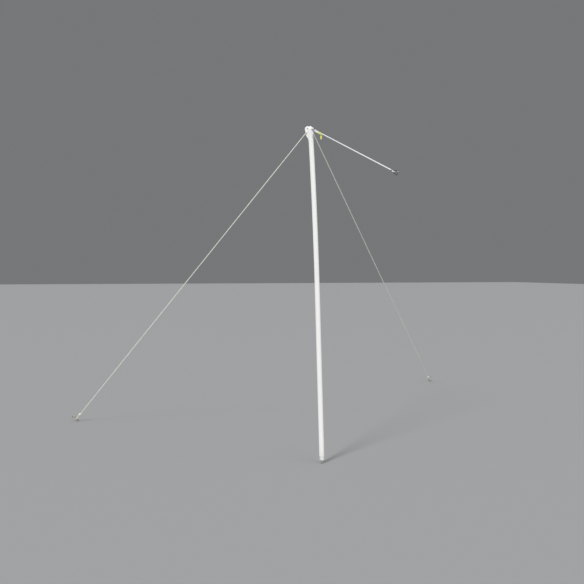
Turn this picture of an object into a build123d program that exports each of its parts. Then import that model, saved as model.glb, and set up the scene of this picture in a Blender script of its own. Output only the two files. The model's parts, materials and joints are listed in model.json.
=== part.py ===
from build123d import *
from math import acos, cos, radians, sin
import os

# Shade sail post: a white steel mast on a ground pin, held up by two guys and by the taut line of the sail.
# Millimetres. The origin is the middle of the ground pin at ground level, +Z is up, and +X points
# towards the sail, along the sail line seen from above.

# Mast
mast_reach = 283.0
mast_rise = 2875.0
tube_diameter = 42.4
tube_wall = 2.0
straight_share = 0.48
bow_angle = 0.44
bow_azimuth = 67.6

# Foot
pin_diameter = 20.0
pin_height = 21.0
washer_diameter = 30.0
washer_thickness = 5.0
washer_chamfer = 0.8
insert_shown = 32.0
insert_depth = 70.0
insert_clearance = 0.2
insert_chamfer = 1.5
buried_length = 20.0

# Head cap
dome_height = 30.0
dome_shoulder = 15.5
dome_shoulder_height = 16.0
dome_tip = 3.0
spigot_length = 35.0
spigot_wall = 3.0

# Lugs, measured outwards from the mast's axis and down from the tip of the cap
lug_thickness = 6.0
upper_hole_diameter = 12.0
lower_hole_diameter = 10.0
lug_side_angle = 8.0
lug_waist_out = 0.51
lug_waist_up = 0.61
lug_toe_down = 136.0
lug_toe_width = 2.0
lug_root = 12.0
guy_lug_angle = 45.0
guy_lug_round = 22.5
guy_lug_side = 42.0
guy_upper_hole_out = 28.0
guy_upper_hole_down = 19.0
guy_lower_hole_out = 34.0
guy_lower_hole_down = 51.0
sail_lug_round = 17.0
sail_lug_side = 34.0
sail_upper_hole_out = 35.5
sail_upper_hole_down = 40.0
sail_lower_hole_out = 37.0
sail_lower_hole_down = 64.0

# Ropes
rope_diameter = 8.0
rope_gap = 0.2
hole_bend = 6.0

# Sail line
sail_drop = 591.0
sail_reach = 1349.0
link_wire = 6.0
link_inside = 14.0
link_length = 52.0
link_slack = 0.8
link_gap = 9.0
nut_across = 11.0
nut_length = 17.0
nut_chamfer = 0.8
nut_clearance = 0.05
head_eye_length = 163.0
head_eye_spread = 34.0
eye_end = 5.0
tape_start = 89.0
tape_length = 63.0
tape_thickness = 1.2
tail_share = 0.69
tail_bearing = 67.5
tail_neck = 6.0
tail_shoulder = 18.0
tail_width = 15.0
tail_tip = 7.0
tail_length = 52.0
hook_eye_length = 33.0
hook_eye_spread = 9.0
whipping_gap = 9.5
whipping_length = 16.0
whipping_thickness = 1.0

# Snap hook: a pear of round bar, its gate held by a rivet in a fork and caught by a pin in a notch
hook_wire = 6.0
hook_length = 60.0
hook_small_radius = 7.5
hook_large_radius = 12.3
hook_stub = 1.5
hook_nose = 2.0
hook_clearance = 0.2
blade_thickness = 2.2
blade_height = 4.8
rivet_diameter = 2.0
rivet_head_diameter = 3.2
rivet_head_height = 0.3
pin_inset = 3.4

# Guys and pegs
left_peg_x = -2152.0
left_peg_y = -1857.0
right_peg_x = -2617.0
right_peg_y = 2992.0
peg_diameter = 12.0
peg_shown = 46.0
peg_hook_radius = 13.0
peg_hook_angle = 150.0
loop_height = 20.0
peg_loop_length = 64.0
peg_loop_leg = 6.0

# Knots
stopper_diameter = 23.0
stopper_length = 18.0
stopper_turns = 2
stopper_tail = 8.0
peg_knot_diameter = 24.0
peg_knot_length = 30.0
peg_knot_turns = 4
peg_knot_tail = 20.0
peg_knot_root = 6.0
knot_waist = 0.78

tube_radius = tube_diameter / 2
bore_radius = tube_radius - tube_wall
rope_radius = rope_diameter / 2
pair_offset = rope_radius + rope_gap / 2


def unit(vector):
    return vector.normalized()


def swept(path, radius):
    # A round bar along a path.
    section = Plane(origin=path @ 0, z_dir=path % 0) * Circle(radius)
    return sweep(section, path=path)


def above_ground(solid):
    return split(solid, bisect_by=Plane.XY, keep=Keep.TOP)


def turned(profile):
    # A profile drawn as distance out and height, turned about the Z axis.
    return revolve(Plane.XZ * profile, axis=Axis.Z)


# Mast axis: a straight lower run and a slightly bowed upper run, in the plane of the bow.
foot = Vector(0, 0, 0)
crown = Vector(-mast_reach, 0, mast_rise)
chord = crown - foot
along = unit(chord)
bow = Vector(cos(radians(bow_azimuth)), sin(radians(bow_azimuth)), 0)
sideways = unit(bow - along * bow.dot(along))
straight_length = chord.length * straight_share


def mast_point(side, up):
    return foot + sideways * side + along * up


bend_start = mast_point(straight_length * sin(radians(bow_angle)), straight_length * cos(radians(bow_angle)))
straight_run = Line(foot, bend_start)
bowed_run = TangentArc(bend_start, crown, tangent=straight_run % 1)
bowed_length = bowed_run.length
mast_length = straight_length + bowed_length


def mast_place(distance):
    # Plane square to the mast's axis at a distance from the ground, with its x axis towards the sail.
    if distance < straight_length:
        origin = straight_run @ (distance / straight_length)
        tangent = straight_run % 1
    else:
        share = (distance - straight_length) / bowed_length
        origin = bowed_run @ share
        tangent = bowed_run % share
    return Plane(origin=origin, x_dir=Vector(0, 1, 0).cross(tangent), z_dir=tangent)


washer_start = pin_height
insert_start = washer_start + washer_thickness
tube_start = insert_start + insert_shown
tube_end = mast_length - dome_height
low_place = mast_place(0)
head_place = mast_place(tube_end)


def mast_bar(radius):
    # A round bar as long as the tube, on the mast's axis.
    low = straight_run @ (tube_start / straight_length)
    high_share = (tube_end - straight_length) / bowed_length
    path = Wire([Edge.make_line(low, bend_start), bowed_run.trim(0, high_share)])
    return swept(path, radius)


def make_mast_tube():
    return mast_bar(tube_radius) - mast_bar(bore_radius)


def make_ground_pin():
    pin = Cylinder(pin_diameter / 2, pin_height + buried_length,
                   align=(Align.CENTER, Align.CENTER, Align.MIN))
    return above_ground(low_place * Pos(0, 0, -buried_length) * pin)


def make_foot_washer():
    washer = Cylinder(washer_diameter / 2, washer_thickness, align=(Align.CENTER, Align.CENTER, Align.MIN))
    washer = chamfer(washer.edges().filter_by(GeomType.CIRCLE), washer_chamfer)
    return low_place * Pos(0, 0, washer_start) * washer


def make_foot_insert():
    radius = bore_radius - insert_clearance
    insert = Cylinder(radius, insert_shown + insert_depth, align=(Align.CENTER, Align.CENTER, Align.MIN))
    insert = chamfer(insert.edges().filter_by(GeomType.CIRCLE), insert_chamfer)
    return low_place * Pos(0, 0, insert_start) * insert


def make_head_cap():
    outer_radius = bore_radius - insert_clearance
    inner_radius = outer_radius - spigot_wall
    with BuildLine() as outline:
        ThreePointArc((tube_radius, 0), (dome_shoulder, dome_shoulder_height), (dome_tip, dome_height))
        Line((dome_tip, dome_height), (0, dome_height))
        Line((0, dome_height), (0, 0))
        Line((0, 0), (inner_radius, 0))
        Line((inner_radius, 0), (inner_radius, -spigot_length))
        Line((inner_radius, -spigot_length), (outer_radius, -spigot_length))
        Line((outer_radius, -spigot_length), (outer_radius, 0))
        Line((outer_radius, 0), (tube_radius, 0))
    return head_place * turned(make_face(outline.line))


class Lug:
    # A plate on the head that stands out towards one line: its round top lies about the upper hole, a
    # straight side leaves that smoothly, and two arcs draw it in to a narrow toe against the tube.
    def __init__(self, azimuth, top_radius, side_length, upper, lower):
        self.top_radius = top_radius
        self.side_length = side_length
        self.upper = Vector(upper[0], dome_height - upper[1])
        self.lower = Vector(lower[0], dome_height - lower[1])
        turn = radians(azimuth)
        out = head_place.x_dir * cos(turn) + head_place.y_dir * sin(turn)
        self.place = Plane(origin=head_place.origin, x_dir=out, z_dir=out.cross(head_place.z_dir))
        self.normal = self.place.z_dir
        self.upper_hole = self.place.from_local_coords(self.upper)
        self.lower_hole = self.place.from_local_coords(self.lower)

    def profile(self):
        # x is the distance out from the mast's axis and y the height above the tube's end.
        turn = radians(lug_side_angle)
        side = self.upper + Vector(cos(turn), -sin(turn)) * self.top_radius
        down = Vector(-sin(turn), -cos(turn))
        edge = side + down * self.side_length
        toe = Vector(tube_radius + lug_toe_width, dome_height - lug_toe_down)
        waist = toe + Vector(lug_waist_out * (edge.X - toe.X), lug_waist_up * (edge.Y - toe.Y))
        with BuildLine() as outline:
            Line((lug_root, self.upper.Y), self.upper)
            Line(self.upper, side)
            Line(side, edge)
            shoulder = TangentArc(edge, waist, tangent=down)
            TangentArc(waist, toe, tangent=shoulder % 1)
            Line(toe, (lug_root, toe.Y))
            Line((lug_root, toe.Y), (lug_root, self.upper.Y))
        plate = Pos(self.upper.X, self.upper.Y) * Circle(self.top_radius) + make_face(outline.line)
        plate = plate - Pos(self.upper.X, self.upper.Y) * Circle(upper_hole_diameter / 2)
        return plate - Pos(self.lower.X, self.lower.Y) * Circle(lower_hole_diameter / 2)

    def plate(self, mast_core):
        # The plate trimmed to the surface of the tube and its cap.
        return self.place * extrude(self.profile(), lug_thickness / 2, both=True) - mast_core


def guy_lug(azimuth):
    return Lug(azimuth, guy_lug_round, guy_lug_side, (guy_upper_hole_out, guy_upper_hole_down),
               (guy_lower_hole_out, guy_lower_hole_down))


sail_lug = Lug(0, sail_lug_round, sail_lug_side, (sail_upper_hole_out, sail_upper_hole_down),
               (sail_lower_hole_out, sail_lower_hole_down))
left_lug = guy_lug(180 + guy_lug_angle)
right_lug = guy_lug(180 - guy_lug_angle)

# Sail line: a frame at the lug's upper hole whose x runs along the pull, whose y is level and whose z is
# square to both. The rope from end to end lies above the pull, at z = pair_offset.
sail_hole = sail_lug.upper_hole
sail_end = sail_hole + Vector(sail_reach, 0, -sail_drop)
sail_direction = unit(sail_end - sail_hole)
sail_length = (sail_end - sail_hole).length
sail_place = Plane(origin=sail_hole, x_dir=sail_direction, z_dir=sail_direction.cross(Vector(0, 1, 0)))
upright_place = Plane(origin=sail_hole, x_dir=sail_place.x_dir, z_dir=sail_place.y_dir * -1)
link_start = upper_hole_diameter / 2 - link_wire / 2 - link_slack
link_end = link_start + link_length + link_wire
link_half = (link_inside + link_wire) / 2
nut_middle = (link_start + link_end) / 2
hook_bar = sail_length - hook_length + hook_wire / 2
hook_middle = Vector(hook_bar, -pair_offset, pair_offset)
line_start = link_end + head_eye_length
line_end = hook_bar - hook_eye_length


def make_link():
    # A long oval of round bar through the lug's hole, open where its nut closes it.
    low = link_start + link_half
    high = link_end - link_half
    path = Wire([
        Edge.make_line((nut_middle + link_gap / 2, -link_half, 0), (high, -link_half, 0)),
        Edge.make_three_point_arc((high, -link_half, 0), (link_end, 0, 0), (high, link_half, 0)),
        Edge.make_line((high, link_half, 0), (low, link_half, 0)),
        Edge.make_three_point_arc((low, link_half, 0), (link_start, 0, 0), (low, -link_half, 0)),
        Edge.make_line((low, -link_half, 0), (nut_middle - link_gap / 2, -link_half, 0)),
    ])
    return sail_place * swept(path, link_wire / 2)


def make_link_nut():
    # A hexagon with its corners turned down at both ends.
    nut = extrude(Plane.YZ * RegularPolygon(nut_across / 2, 6, major_radius=False), nut_length / 2, both=True)
    corner_radius = nut_across / 2 / cos(radians(30))
    turned_bar = Cylinder(corner_radius, nut_length, rotation=(0, 90, 0))
    nut = nut & chamfer(turned_bar.edges().filter_by(GeomType.CIRCLE), nut_chamfer)
    bore = Cylinder(link_wire / 2 + nut_clearance, nut_length, rotation=(0, 90, 0))
    return sail_place * Pos(nut_middle, -link_half, 0) * (nut - bore)


def eye_path(bar_radius, spread, long_leg, short_leg):
    # An eye of rope round a bar at the origin, in the XY plane: half a turn round the bar, two smooth bends
    # that bring the legs together, and the legs side by side at y = pair_offset and y = -pair_offset.
    ring = bar_radius + rope_gap + rope_radius
    upper = Vector(spread / 2, (ring + pair_offset) / 2)
    lower = Vector(spread / 2, -(ring + pair_offset) / 2)
    leg = Line((long_leg, pair_offset), (spread, pair_offset))
    bend = TangentArc((spread, pair_offset), upper, tangent=(-1, 0))
    open_bend = TangentArc(upper, (0, ring), tangent=bend % 1)
    turn = ThreePointArc((0, ring), (-ring, 0), (0, -ring))
    close_bend = TangentArc((0, -ring), lower, tangent=(1, 0))
    back_bend = TangentArc(lower, (spread, -pair_offset), tangent=close_bend % 1)
    back_leg = Line((spread, -pair_offset), (short_leg, -pair_offset))
    return Wire([edge for part in (leg, bend, open_bend, turn, close_bend, back_bend, back_leg)
                 for edge in part.edges()])


def make_head_eye():
    path = eye_path(link_wire / 2, head_eye_spread, head_eye_length, head_eye_length - eye_end)
    return upright_place * Pos(link_end, 0, 0) * swept(path, rope_radius)


def make_sail_line():
    low = upright_place.from_local_coords(Vector(line_start, pair_offset, 0))
    high = upright_place.from_local_coords(Vector(line_end, pair_offset, 0))
    return swept(Line(low, high), rope_radius)


def rope_pair(length, thickness):
    # The outline of two ropes side by side in the XY plane, grown by a thickness and carried along X.
    outline = SlotCenterToCenter(2 * pair_offset, rope_diameter + 2 * rope_gap + 2 * thickness)
    return extrude(Plane.YZ * outline, length)


def make_tape():
    # A band round the two legs of the eye, with its free end gathered at the band and hanging straight down.
    start = link_end + tape_start
    hang = upright_place.from_local_coords(Vector(start + tape_length * tail_share, -pair_offset, 0))
    turn = radians(tail_bearing)
    place = Plane(origin=hang, x_dir=Vector(cos(turn), sin(turn), 0), z_dir=Vector(sin(turn), -cos(turn), 0))
    outline = Polygon((-tail_neck / 2, 0), (-tail_width / 2, -tail_shoulder),
                      (-tail_tip / 2, -tail_length), (tail_tip / 2, -tail_length),
                      (tail_width / 2, -tail_shoulder), (tail_neck / 2, 0), align=None)
    band_place = upright_place * Pos(start, 0, 0)
    tail = place * extrude(outline, tape_thickness / 2, both=True)
    return band_place * rope_pair(tape_length, tape_thickness) + tail - band_place * rope_pair(tape_length, 0)


def make_hook_eye():
    path = eye_path(hook_wire / 2, hook_eye_spread, hook_eye_length, hook_eye_length - eye_end)
    place = Plane(origin=hook_place.origin, x_dir=sail_place.x_dir * -1, z_dir=sail_place.z_dir * -1)
    return place * swept(path, rope_radius)


def make_whipping():
    ring = rope_pair(whipping_length, whipping_thickness) - rope_pair(whipping_length, 0)
    place = Plane(origin=hook_place.origin, x_dir=sail_place.x_dir, z_dir=sail_place.z_dir)
    return place * Pos(-whipping_gap - whipping_length, 0, 0) * ring


# Snap hook, in its own plane: x along the pull from the small end's bar, y upwards. The spine and the
# gate lie on the two straight lines that touch both of its round ends.
hook_place = Plane(origin=sail_place.from_local_coords(hook_middle), x_dir=sail_place.x_dir,
                   z_dir=sail_place.y_dir * -1)
hook_span = hook_length - hook_wire
small_middle = Vector(hook_small_radius, 0)
large_middle = Vector(hook_span - hook_large_radius, 0)
hook_reach = (large_middle - small_middle).length
flank = acos((hook_large_radius - hook_small_radius) / hook_reach)
gate_side = Vector(-cos(flank), sin(flank))
spine_side = Vector(-cos(flank), -sin(flank))
gate_low = small_middle + gate_side * hook_small_radius
gate_high = large_middle + gate_side * hook_large_radius
gate_span = (gate_high - gate_low).length
gate_place = Plane(origin=gate_low, x_dir=gate_high - gate_low, z_dir=(0, 0, 1))
gate_start = hook_stub + hook_clearance
gate_end = gate_span - hook_nose - hook_clearance
rivet_at = gate_start + hook_wire / 2
pin_at = gate_end - pin_inset


def blade(start, end):
    # A flat tongue of the hook's bar on the gate's line, with a round end about the start.
    flat = extrude(Plane.XY * Pos((start + end) / 2, 0) * Rectangle(end - start, blade_height),
                   blade_thickness / 2, both=True)
    return flat + Pos(start, 0, 0) * Cylinder(blade_height / 2, blade_thickness)


def fork(start, end):
    # The slot in the gate that takes a blade, with clearance on each side.
    width = blade_thickness + 2 * hook_clearance
    return Pos((start + end) / 2, 0, 0) * Box(end - start, 2 * hook_wire, width)


def make_hook_body():
    gate_line = unit(gate_high - gate_low)
    stub_end = gate_low + gate_line * hook_stub
    nose_end = gate_high - gate_line * hook_nose
    spine_low = small_middle + spine_side * hook_small_radius
    spine_high = large_middle + spine_side * hook_large_radius
    path = Wire([
        Edge.make_line(stub_end, gate_low),
        Edge.make_three_point_arc(gate_low, (0, 0, 0), spine_low),
        Edge.make_line(spine_low, spine_high),
        Edge.make_three_point_arc(spine_high, (hook_span, 0, 0), gate_high),
        Edge.make_line(gate_high, nose_end),
    ])
    hole = Pos(rivet_at, 0, 0) * Cylinder(rivet_diameter / 2 + hook_clearance, hook_wire)
    tongue = Rot(0, 0, 180) * blade(-rivet_at, -hook_stub / 2) - hole
    notch_width = rivet_diameter + 2 * hook_clearance
    notch = Pos(pin_at, 0, 0) * Cylinder(notch_width / 2, hook_wire)
    notch += Pos(pin_at, -blade_height / 2, 0) * Box(notch_width, blade_height, hook_wire)
    catch = blade(pin_at, gate_span - hook_nose / 2) - notch
    return hook_place * (swept(path, hook_wire / 2) + gate_place * (tongue + catch))


def make_hook_gate():
    # A round bar with a rounded fork about the rivet and a second fork over the notched nose.
    bar = Pos((rivet_at + gate_end) / 2, 0, 0) * Cylinder(hook_wire / 2, gate_end - rivet_at,
                                                          rotation=(0, 90, 0))
    bar += Pos(rivet_at, 0, 0) * Sphere(hook_wire / 2)
    bar += Pos(rivet_at, 0, 0) * Cylinder(rivet_head_diameter / 2, hook_wire + 2 * rivet_head_height)
    fork_reach = blade_height / 2 + hook_clearance
    bar -= fork(hook_stub, rivet_at + fork_reach)
    bar -= fork(pin_at - fork_reach, gate_span)
    for pin in (rivet_at, pin_at):
        bar += Pos(pin, 0, 0) * Cylinder(rivet_diameter / 2, hook_wire - 2 * rivet_head_height)
    return hook_place * gate_place * bar


def knot_profile(length, diameter, turns):
    # Half outline of a knot, as distance out and height: one round bulge for each turn.
    step = length / turns
    radius = diameter / 2
    waist = radius * knot_waist
    with BuildLine() as outline:
        Line((0, 0), (waist, 0))
        for turn in range(turns):
            ThreePointArc((waist, turn * step), (radius, (turn + 0.5) * step), (waist, (turn + 1) * step))
        Line((waist, length), (0, length))
        Line((0, length), (0, 0))
    return make_face(outline.line)


class Guy:
    # One guy: its rope from the lug to the peg, the knots at its two ends and its peg.
    def __init__(self, lug, peg_x, peg_y, knot_side):
        self.hole = lug.lower_hole
        self.face = lug.normal * knot_side
        self.knot_face = self.hole + self.face * (lug_thickness / 2)
        flat = unit(Vector(peg_x - self.hole.X, peg_y - self.hole.Y, 0))
        fall = unit(Vector(peg_x, peg_y, 0) - self.hole)
        self.across = Vector(0, 0, 1).cross(flat)
        peg_axis = unit(fall.cross(self.across))
        self.anchor = Vector(peg_x, peg_y, 0) + peg_axis * (loop_height / peg_axis.Z)
        self.corner = self.hole - self.face * (lug_thickness / 2 + hole_bend)
        self.pull = unit(self.anchor - self.corner)
        self.loop_start = self.anchor - self.pull * peg_loop_length
        self.knot_start = self.loop_start - self.pull * peg_knot_length

    def rope(self):
        # Out of the knot, through the lug's hole, and down in a tight bend towards the peg.
        path = FilletPolyline(self.knot_face, self.corner, self.knot_start, radius=hole_bend)
        return swept(path, rope_radius)

    def stopper(self):
        # A knot of a few turns against the lug, with the rope's cut end standing out of it.
        knot = turned(knot_profile(stopper_length, stopper_diameter, stopper_turns))
        tail = Cylinder(rope_radius, stopper_length + stopper_tail,
                        align=(Align.CENTER, Align.CENTER, Align.MIN))
        return Plane(origin=self.knot_face, z_dir=self.face) * (knot + tail)

    def peg_knot(self):
        # Turns round the two ropes of the loop, and the rope's cut end beside the line.
        profile = Plane.XZ * knot_profile(peg_knot_length, peg_knot_diameter, peg_knot_turns)
        half = Pos(0, pair_offset, 0) * revolve(profile, axis=Axis.Z, revolution_arc=180)
        half += extrude(profile, pair_offset, both=True)
        tail = Pos(0, -rope_diameter - rope_gap, peg_knot_root - peg_knot_tail) * Cylinder(
            rope_radius, peg_knot_tail, align=(Align.CENTER, Align.CENTER, Align.MIN))
        knot = half + Rot(0, 0, 180) * half + tail
        return Plane(origin=self.knot_start, x_dir=self.pull.cross(self.across), z_dir=self.pull) * knot

    def peg_loop(self):
        path = eye_path(peg_diameter / 2, peg_loop_length - peg_loop_leg, peg_loop_length, peg_loop_length)
        place = Plane(origin=self.anchor, x_dir=self.pull * -1, z_dir=self.pull.cross(self.across))
        return place * swept(path, rope_radius)

    def peg(self):
        # A round bar square to the pull, with its top bent over away from the mast.
        axis = self.pull.cross(self.across)
        base = self.anchor - axis * (loop_height / axis.Z + buried_length)
        place = Plane(origin=base, x_dir=self.pull, z_dir=self.across * -1)
        top = buried_length + loop_height + peg_shown
        turn = radians(peg_hook_angle)
        middle = Vector(peg_hook_radius, top)
        half_turn = middle + Vector(-cos(turn / 2), sin(turn / 2)) * peg_hook_radius
        end = middle + Vector(-cos(turn), sin(turn)) * peg_hook_radius
        path = Wire([
            Edge.make_line((0, 0, 0), (0, top, 0)),
            Edge.make_three_point_arc((0, top, 0), half_turn, end),
        ])
        return above_ground(place * swept(path, peg_diameter / 2))


left_guy = Guy(left_lug, left_peg_x, left_peg_y, 1)
right_guy = Guy(right_lug, right_peg_x, right_peg_y, -1)


def build():
    cap = make_head_cap()
    mast_core = mast_bar(tube_radius) + cap
    nodes = {
        "mast_tube": make_mast_tube(),
        "head_cap": cap,
        "sail_lug": sail_lug.plate(mast_core),
        "left_guy_lug": left_lug.plate(mast_core),
        "right_guy_lug": right_lug.plate(mast_core),
        "foot_insert": make_foot_insert(),
        "foot_washer": make_foot_washer(),
        "ground_pin": make_ground_pin(),
        "quick_link": make_link(),
        "quick_link_nut": make_link_nut(),
        "sail_line": make_sail_line(),
        "sail_line_head_eye": make_head_eye(),
        "sail_line_tape": make_tape(),
        "sail_line_hook_eye": make_hook_eye(),
        "sail_line_whipping": make_whipping(),
        "snap_hook": make_hook_body(),
        "snap_hook_gate": make_hook_gate(),
    }
    for name, guy in (("left", left_guy), ("right", right_guy)):
        nodes[name + "_guy_rope"] = guy.rope()
        nodes[name + "_guy_stopper_knot"] = guy.stopper()
        nodes[name + "_guy_peg_knot"] = guy.peg_knot()
        nodes[name + "_guy_peg_loop"] = guy.peg_loop()
        nodes[name + "_peg"] = guy.peg()
    return nodes


os.makedirs("parts", exist_ok=True)
for node, solid in build().items():
    export_step(solid, f"parts/{node}.step")
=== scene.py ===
# Shade sail post: finishes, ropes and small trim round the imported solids.
# Metres. The origin is the middle of the ground pin at ground level, +Z is up and +X points towards the sail.
import json
import math

import bpy
import numpy as np
from mathutils import Matrix


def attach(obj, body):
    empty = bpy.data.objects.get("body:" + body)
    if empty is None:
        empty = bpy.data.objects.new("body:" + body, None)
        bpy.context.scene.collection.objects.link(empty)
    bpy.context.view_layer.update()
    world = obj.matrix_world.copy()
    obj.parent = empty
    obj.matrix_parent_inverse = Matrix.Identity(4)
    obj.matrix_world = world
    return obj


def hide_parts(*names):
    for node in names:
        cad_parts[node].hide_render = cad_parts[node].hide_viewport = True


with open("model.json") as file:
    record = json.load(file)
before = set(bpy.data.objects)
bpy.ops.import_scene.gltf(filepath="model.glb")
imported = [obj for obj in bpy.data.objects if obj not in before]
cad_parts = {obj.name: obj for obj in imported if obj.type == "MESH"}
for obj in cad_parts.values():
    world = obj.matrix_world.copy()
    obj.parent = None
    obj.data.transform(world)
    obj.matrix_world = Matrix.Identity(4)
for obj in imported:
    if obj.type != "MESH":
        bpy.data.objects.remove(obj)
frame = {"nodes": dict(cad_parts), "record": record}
nodes = frame["nodes"]
mounts = {mount["name"]: mount for mount in frame["record"]["mounts"]}
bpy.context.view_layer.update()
print("frame loaded:", len(nodes), "nodes")

upwards = np.array([0.0, 0.0, 1.0])


def unit(rows):
    return rows / np.linalg.norm(rows, axis=-1, keepdims=True)


def ease(share, start=0.0, reach=1.0):
    # smooth step from 0 at the start to 1 at the end of the reach: 3t² - 2t³
    share = np.clip((share - start) / reach, 0, 1)
    return share * share * (3 - 2 * share)


def oneRound(count):
    # shares of a turn, once round a section
    return (np.arange(count) / count)[None]


def bezier(share, corners):
    # curve that leans on its corners: the sum of (n over k) (1-t)^(n-k) t^k times corner k
    degree = len(corners) - 1
    return sum(math.comb(degree, k) * (1 - share) ** (degree - k) * share ** k * corner
               for k, corner in enumerate(corners))


# Places that the ropes and the trim are built on, from the record's mounts and the sizes of the solids

fittings = {
    "lugThickness": 0.006,
    "toeDown": 0.136,            # the lower end of a lug, below the cap's tip
    "domeHeight": 0.030,         # the cap's tip above the tube
    "tubeRadius": 0.0212,
}
# the holes of a lug, out from the mast's axis and down from the cap's tip
guyLug = {"upperOut": 0.028, "upperDown": 0.019, "lowerOut": 0.034, "lowerDown": 0.051}
sailLug = {"upperOut": 0.0355, "upperDown": 0.040}


def mountPlace(name):
    return np.array(mounts[name]["pos_m"], float)


def mountAxis(name):
    return unit(np.array(mounts[name]["axis"], float))


leftNormal = mountAxis("left_lug_upper_hole")
rightNormal = mountAxis("right_lug_upper_hole")
sailNormal = mountAxis("sail_lug_lower_hole")
headUp = unit(np.cross(leftNormal, rightNormal))
headUp = headUp * np.sign(headUp[2])


def lugOut(normal):
    # outwards in the lug's plane: the mast's axis crossed with the lug's normal
    return unit(np.cross(headUp, normal))


tubeTop = mountPlace("left_lug_upper_hole") - lugOut(leftNormal) * guyLug["upperOut"] \
    - headUp * (fittings["domeHeight"] - guyLug["upperDown"])


def lugPoint(normal, out, down):
    return tubeTop + lugOut(normal) * out + headUp * (fittings["domeHeight"] - down)


# Mesh builders

def makeMesh(name, points, faces, uv=None):
    # points is (n, 3), faces a list of corner arrays, one for each number of corners; uv has a row a corner
    mesh = bpy.data.meshes.new(name)
    corners = np.concatenate([part.ravel() for part in faces]).astype(np.int32)
    counts = np.concatenate([np.full(len(part), part.shape[1]) for part in faces])
    starts = (np.cumsum(counts) - counts).astype(np.int32)
    mesh.vertices.add(len(points))
    mesh.vertices.foreach_set("co", np.ascontiguousarray(points, np.float32).ravel())
    mesh.loops.add(len(corners))
    mesh.loops.foreach_set("vertex_index", corners)
    mesh.polygons.add(len(counts))
    mesh.polygons.foreach_set("loop_start", starts)
    mesh.polygons.foreach_set("use_smooth", np.ones(len(counts), bool))
    if uv is not None:
        layer = mesh.uv_layers.new(name="along")
        layer.data.foreach_set("uv", np.ascontiguousarray(uv, np.float32).ravel())
    mesh.update(calc_edges=True)
    piece = bpy.data.objects.new(name, mesh)
    bpy.context.scene.collection.objects.link(piece)
    return piece


def arcLength(path):
    steps = np.linalg.norm(np.diff(path, axis=0), axis=1)
    return np.concatenate([[0.0], np.cumsum(steps)])


def readOff(at, along, rows):
    # rows that are known along a line, read off at other places on it
    return np.stack([np.interp(at, along, column) for column in rows.T], axis=1)


def evenly(path, step, fewest=4):
    # the same line with its points about one step apart, read off along its arc length
    along = arcLength(path)
    steps = max(int(round(along[-1] / step)), fewest)
    return readOff(np.linspace(0, along[-1], steps + 1), along, path)


def leaningFrames(path, lean):
    # the side vector is the lean made square to the path's tangent, and the other is square to both
    tangent = unit(np.gradient(path, axis=0))
    side = unit(lean - (lean * tangent).sum(1, keepdims=True) * tangent)
    return side, np.cross(tangent, side)


def steadyFrames(path, lean):
    # those frames turned back by the angle that they spin, summed along the path, so that a profile carried
    # along doesn't twist
    side, other = leaningFrames(path, np.broadcast_to(lean, path.shape))
    spin = np.arctan2((side[:-1] * other[1:]).sum(1), (side[:-1] * side[1:]).sum(1))
    turned = np.concatenate([[0.0], np.cumsum(spin)])[:, None]
    return side * np.cos(turned) + other * np.sin(turned), other * np.cos(turned) - side * np.sin(turned)


def carriedProfile(name, path, frames, across, up):
    # surface(i, j) = path(i) + side(i) * across(i, j) + other(i) * up(i, j), closed round j, with a pole at
    # each end; its faces point outwards where the profile turns from across to up
    side, other = frames
    rings, around = across.shape
    skin = path[:, None] + side[:, None] * across[..., None] + other[:, None] * up[..., None]
    points = np.concatenate([skin.reshape(-1, 3), skin[:1].mean(1), skin[-1:].mean(1)])
    ring, step = np.meshgrid(np.arange(rings - 1), np.arange(around), indexing="ij")
    here = ring * around + step
    beside = ring * around + (step + 1) % around
    quads = np.stack([here, beside, beside + around, here + around], axis=-1).reshape(-1, 4)
    turn = np.arange(around)
    after = (turn + 1) % around
    first = np.full(around, rings * around)
    base = (rings - 1) * around
    poles = np.concatenate([np.stack([first, after, turn], axis=-1),
                            np.stack([first + 1, base + turn, base + after], axis=-1)])
    along = arcLength(path)
    u0, v0 = step / around, along[ring]
    u1, v1 = (step + 1) / around, along[ring + 1]
    quadUv = np.stack([u0, v0, u1, v0, u1, v1, u0, v1], axis=-1).reshape(-1, 2)
    share = turn / around
    beyond = (turn + 1) / around
    low, high = np.zeros(around), np.full(around, along[-1])
    poleUv = np.concatenate([np.stack([share, low, beyond, low, share, low], axis=-1).reshape(-1, 2),
                             np.stack([share, high, share, high, beyond, high], axis=-1).reshape(-1, 2)])
    return makeMesh(name, points, [quads, poles], np.concatenate([quadUv, poleUv]))


def roundBar(name, path, frames, angle, radius):
    # profile(i, j) = radius(i, j) at angle(j)
    return carriedProfile(name, path, frames, radius * np.cos(angle), radius * np.sin(angle))


def roundedEnds(along, reach, smallest=0.02):
    # share of the full radius near the two ends of a line: a quarter circle over the given reach
    low = np.clip(along / reach, smallest, 1)
    high = np.clip((along[-1] - along) / reach, smallest, 1)
    return np.sqrt(1 - (1 - low) ** 2) * np.sqrt(1 - (1 - high) ** 2)


def braidRelief(turn, along, plaits, lay, cross=0.45):
    # two families of helical ridges, |cos| across each strand; their product of cosines changes sign from one
    # crossing to the next, so adding it to one family and taking it from the other weaves them together
    right = math.pi * plaits * (turn - along / lay)
    left = math.pi * plaits * (turn + along / lay)
    weave = cross * np.cos(right) * np.cos(left)
    ridge = np.maximum(np.abs(np.cos(right)) + weave, np.abs(np.cos(left)) - weave)
    return ridge / (1 + cross)


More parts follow.
